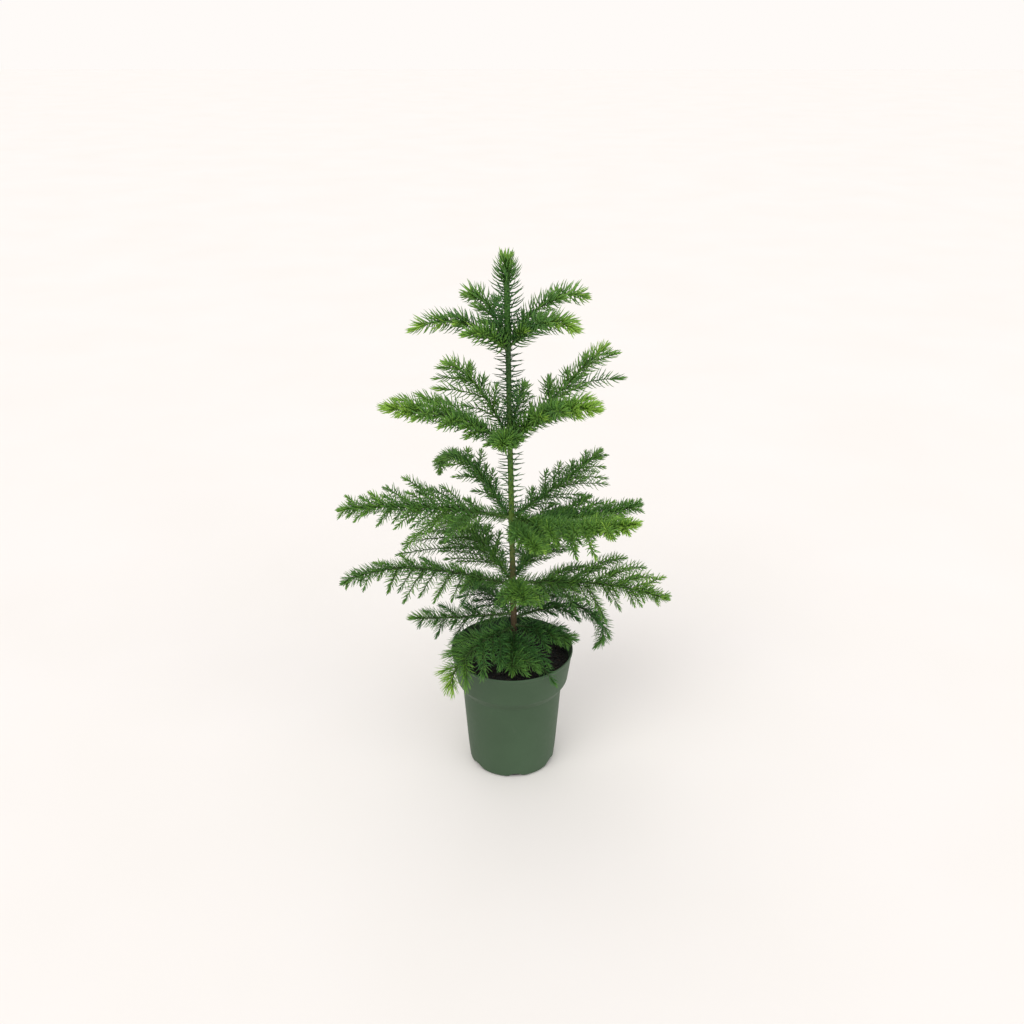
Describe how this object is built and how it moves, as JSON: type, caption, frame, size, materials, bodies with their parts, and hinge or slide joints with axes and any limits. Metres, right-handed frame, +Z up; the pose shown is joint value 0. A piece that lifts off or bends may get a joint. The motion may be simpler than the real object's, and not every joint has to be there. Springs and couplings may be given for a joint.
{
  "type": "potted norfolk island pine",
  "caption": "Young Norfolk Island pine with a straight trunk, tiers of feathery needle branches and a bristly leading shoot, in a round plastic nursery pot filled with soil.",
  "frame": {"origin": "centre of the pot's flat underside", "axes": "+Z up along the pot's axis and roughly along the trunk, +X to the right and -Y towards the viewer of the picture"},
  "size_m": [0.3894, 0.2705, 0.6524],
  "materials": {
    "pot_plastic": "satin",
    "potting_mix": "matte",
    "bark": "matte",
    "green_bark": "matte",
    "needles_young": null,
    "needles_green": null,
    "needles_deep": null
  },
  "bodies": {
    "root": {"pot": "pot_plastic", "soil": "potting_mix", "trunk": "bark", "leader": "needles_young", "trunk_needles_upper": "needles_green", "trunk_needles_middle": "needles_green", "trunk_needles_lower": "needles_deep", "foliage_a1": "needles_young", "foliage_a2": "needles_young", "foliage_a3": "needles_young", "foliage_a4": "needles_young", "foliage_a5": "needles_young", "bough_b1": "green_bark", "bough_b2": "green_bark", "bough_b3": "green_bark", "bough_b4": "green_bark", "bough_b5": "green_bark", "bough_b6": "green_bark", "foliage_b1": "needles_green", "foliage_b2": "needles_green", "foliage_b3": "needles_green", "foliage_b4": "needles_green", "foliage_b5": "needles_green", "foliage_b6": "needles_green", "bough_c1": "green_bark", "bough_c2": "green_bark", "bough_c3": "green_bark", "bough_c4": "green_bark", "bough_c5": "green_bark", "bough_c6": "green_bark", "foliage_c1": "needles_green", "foliage_c2": "needles_green", "foliage_c3": "needles_green", "foliage_c4": "needles_green", "foliage_c5": "needles_green", "foliage_c6": "needles_green", "bough_d1": "bark", "bough_d2": "bark", "bough_d3": "bark", "bough_d4": "bark", "bough_d5": "bark", "foliage_d1": "needles_deep", "foliage_d2": "needles_deep", "foliage_d3": "needles_deep", "foliage_d4": "needles_deep", "foliage_d5": "needles_deep", "bough_e1": "bark", "bough_e2": "bark", "bough_e3": "bark", "bough_e4": "bark", "bough_e5": "bark", "bough_e6": "bark", "bough_e7": "bark", "foliage_e1": "needles_deep", "foliage_e2": "needles_deep", "foliage_e3": "needles_deep", "foliage_e4": "needles_deep", "foliage_e5": "needles_deep", "foliage_e6": "needles_deep", "foliage_e7": "needles_deep"}
  },
  "joints": []
}
